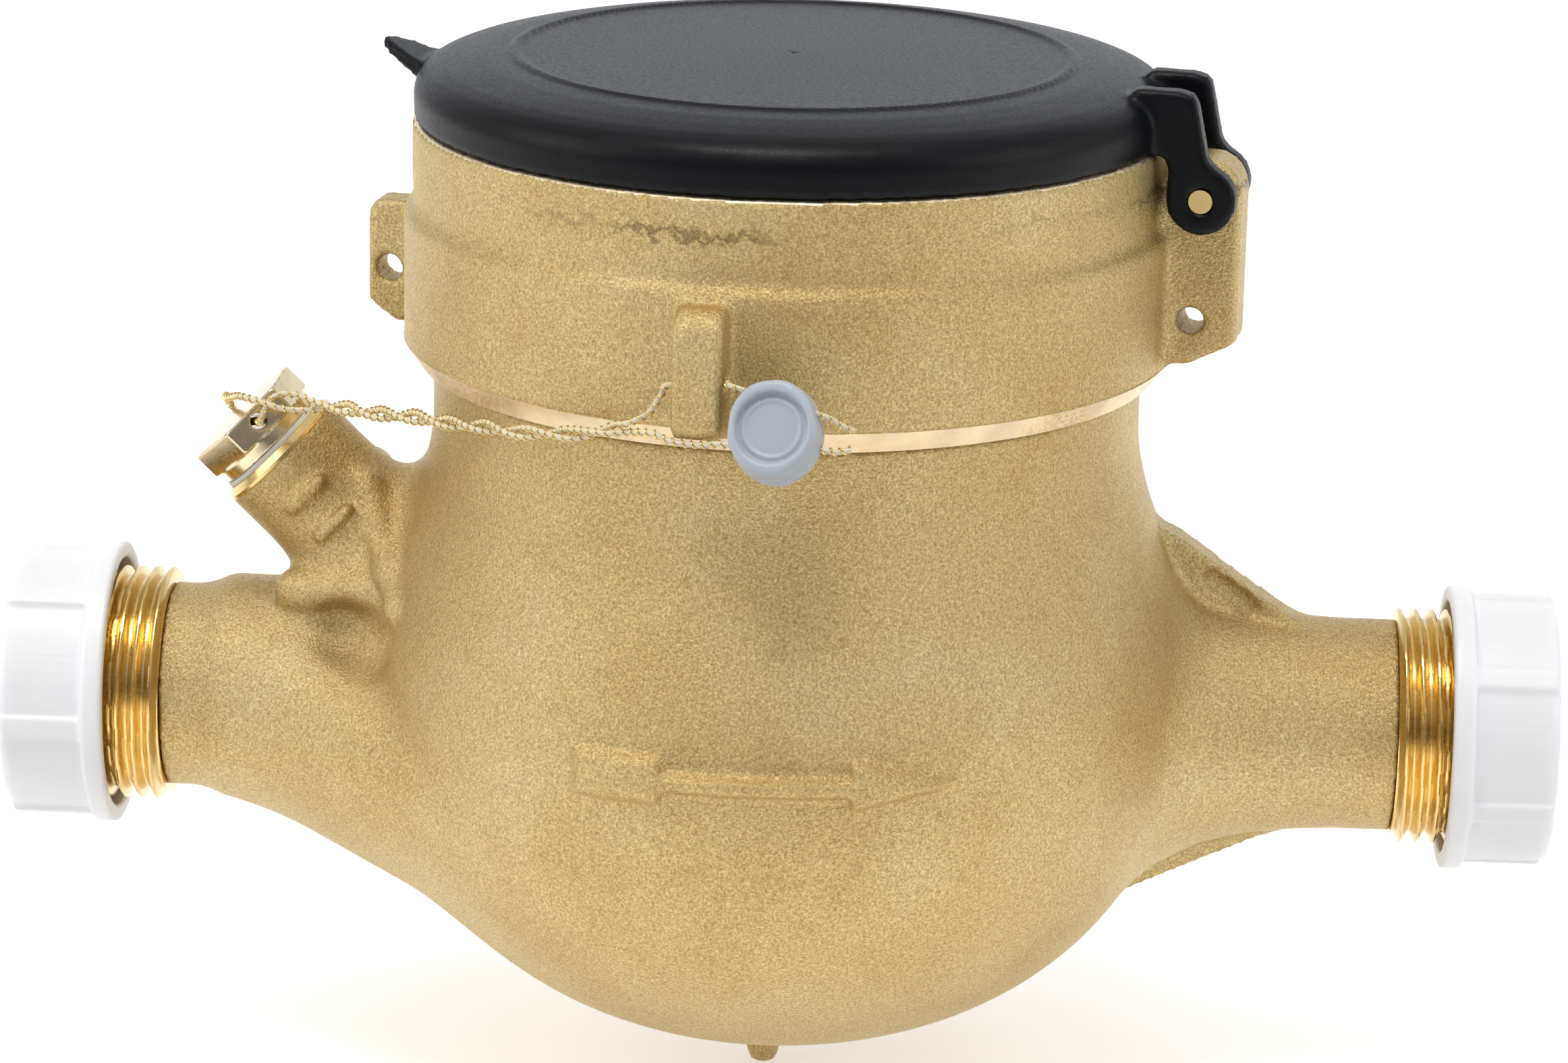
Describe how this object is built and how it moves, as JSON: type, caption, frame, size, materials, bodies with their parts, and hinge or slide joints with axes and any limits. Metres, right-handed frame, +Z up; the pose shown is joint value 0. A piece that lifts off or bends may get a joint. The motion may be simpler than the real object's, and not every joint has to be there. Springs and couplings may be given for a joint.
{
  "type": "water meter",
  "caption": "Cast brass water meter with threaded ports, a regulator neck with a wired seal, white port caps, and a hinged black lid over a geared register.",
  "frame": {"origin": "centre of the inlet port's face", "axes": "+X in the direction of flow, from the inlet to the outlet; +Z up, towards the lid; -Y is the side with the seal"},
  "size_m": [0.1738, 0.0987, 0.1182],
  "materials": {
    "cast_brass": "sand-cast, blasted, satin",
    "bright_brass": "machined, bright",
    "lid_plastic": "fine grain, satin",
    "cap_plastic": "milky, slightly translucent",
    "inner_plastic": "moulded, satin",
    "gasket_rubber": "smooth",
    "magnet_black": "moulded ferrite",
    "steel": "turned",
    "pointer_red": "moulded",
    "drum_black": "moulded",
    "dial_white": "printed",
    "window_glass": "clear",
    "seal_plastic": "moulded",
    "seal_wire": "twisted strand"
  },
  "bodies": {
    "meter": {"meter_body": "cast_brass", "head_ring": "cast_brass", "hinge_pin": "bright_brass", "regulator_plug": "bright_brass", "plug_gasket": "seal_plastic", "regulator_screw": "bright_brass", "regulator_o_ring": "gasket_rubber", "inlet_strainer": "inner_plastic", "chamber_gasket": "gasket_rubber", "chamber_cup": "inner_plastic", "chamber_sleeve": "inner_plastic", "pivot_pin": "steel", "shaft_bush": "bright_brass", "plate_gasket": "gasket_rubber", "pressure_plate": "bright_brass", "register_can": "inner_plastic", "lower_gear_plate": "bright_brass", "upper_gear_plate": "bright_brass", "plate_pillars": "steel", "drum_axle": "steel", "transfer_axle": "steel", "transfer_pinions": "inner_plastic", "dial_plate": "dial_white", "dial_ring": "inner_plastic", "window_gasket": "gasket_rubber", "register_window": "window_glass", "slip_ring": "inner_plastic", "seal_disc": "seal_plastic", "seal_wire_loop": "seal_wire", "seal_wire_pair": "seal_wire", "seal_wire_ends": "seal_wire"},
    "lid": {"lid": "lid_plastic"},
    "inlet_cap": {"inlet_cap": "cap_plastic"},
    "outlet_cap": {"outlet_cap": "cap_plastic"},
    "impeller": {"impeller": "inner_plastic", "drive_magnet": "magnet_black"},
    "magnet_spindle": {"magnet_spindle": "steel", "driven_magnet": "magnet_black"},
    "star": {"star_spindle": "steel", "star_indicator": "pointer_red"},
    "worm": {"worm_spindle": "steel"},
    "hand": {"hand_spindle": "steel", "litre_hand": "pointer_red"},
    "drum_1_body": {"drum_1": "drum_black"},
    "drum_2_body": {"drum_2": "drum_black"},
    "drum_3_body": {"drum_3": "drum_black"},
    "drum_4_body": {"drum_4": "drum_black"},
    "drum_5_body": {"drum_5": "pointer_red"}
  },
  "joints": [
    {"name": "lid_hinge", "type": "hinge", "parent": "meter", "child": "lid", "pos_m": [0.1307, -0.00806, 0.0629], "axis": [0.1736, 0.9848, 0], "range_deg": [0, 110]},
    {"name": "inlet_cap_pull", "type": "slide", "parent": "meter", "child": "inlet_cap", "axis": [-1, 0, 0], "range_m": [0, 0.04]},
    {"name": "outlet_cap_pull", "type": "slide", "parent": "meter", "child": "outlet_cap", "axis": [1, 0, 0], "range_m": [0, 0.04]},
    {"name": "impeller_spin", "type": "hinge", "parent": "meter", "child": "impeller", "pos_m": [0.085, 0, 0], "axis": [0, 0, 1], "continuous": true},
    {"name": "magnet_spin", "type": "hinge", "parent": "meter", "child": "magnet_spindle", "pos_m": [0.085, 0, 0.05], "axis": [0, 0, 1], "continuous": true},
    {"name": "star_spin", "type": "hinge", "parent": "meter", "child": "star", "pos_m": [0.09026, -0.00603, 0.05], "axis": [0, 0, 1], "continuous": true},
    {"name": "worm_spin", "type": "hinge", "parent": "meter", "child": "worm", "pos_m": [0.09651, 0.0048, 0.05], "axis": [0, 0, 1], "continuous": true},
    {"name": "hand_spin", "type": "hinge", "parent": "meter", "child": "hand", "pos_m": [0.07851, -0.0103, 0.05], "axis": [0, 0, 1], "continuous": true},
    {"name": "drum_5_spin", "type": "hinge", "parent": "meter", "child": "drum_5_body", "pos_m": [0.085, 0.009, 0.0546], "axis": [1, 0, 0], "continuous": true},
    {"name": "drum_4_spin", "type": "hinge", "parent": "meter", "child": "drum_4_body", "pos_m": [0.085, 0.009, 0.0546], "axis": [1, 0, 0], "continuous": true},
    {"name": "drum_3_spin", "type": "hinge", "parent": "meter", "child": "drum_3_body", "pos_m": [0.085, 0.009, 0.0546], "axis": [1, 0, 0], "continuous": true},
    {"name": "drum_2_spin", "type": "hinge", "parent": "meter", "child": "drum_2_body", "pos_m": [0.085, 0.009, 0.0546], "axis": [1, 0, 0], "continuous": true},
    {"name": "drum_1_spin", "type": "hinge", "parent": "meter", "child": "drum_1_body", "pos_m": [0.085, 0.009, 0.0546], "axis": [1, 0, 0], "continuous": true}
  ],
  "couplings": [
    {"joint": "magnet_spin", "follows": "impeller_spin", "ratio": 1},
    {"joint": "star_spin", "follows": "impeller_spin", "ratio": -0.45455},
    {"joint": "worm_spin", "follows": "impeller_spin", "ratio": 0.11364},
    {"joint": "hand_spin", "follows": "impeller_spin", "ratio": 0.11364},
    {"joint": "drum_5_spin", "follows": "impeller_spin", "ratio": 0.011364},
    {"joint": "drum_4_spin", "follows": "impeller_spin", "ratio": 0.0011364},
    {"joint": "drum_3_spin", "follows": "impeller_spin", "ratio": 0.00011364},
    {"joint": "drum_2_spin", "follows": "impeller_spin", "ratio": 0.000011364},
    {"joint": "drum_1_spin", "follows": "impeller_spin", "ratio": 0.0000011364}
  ]
}
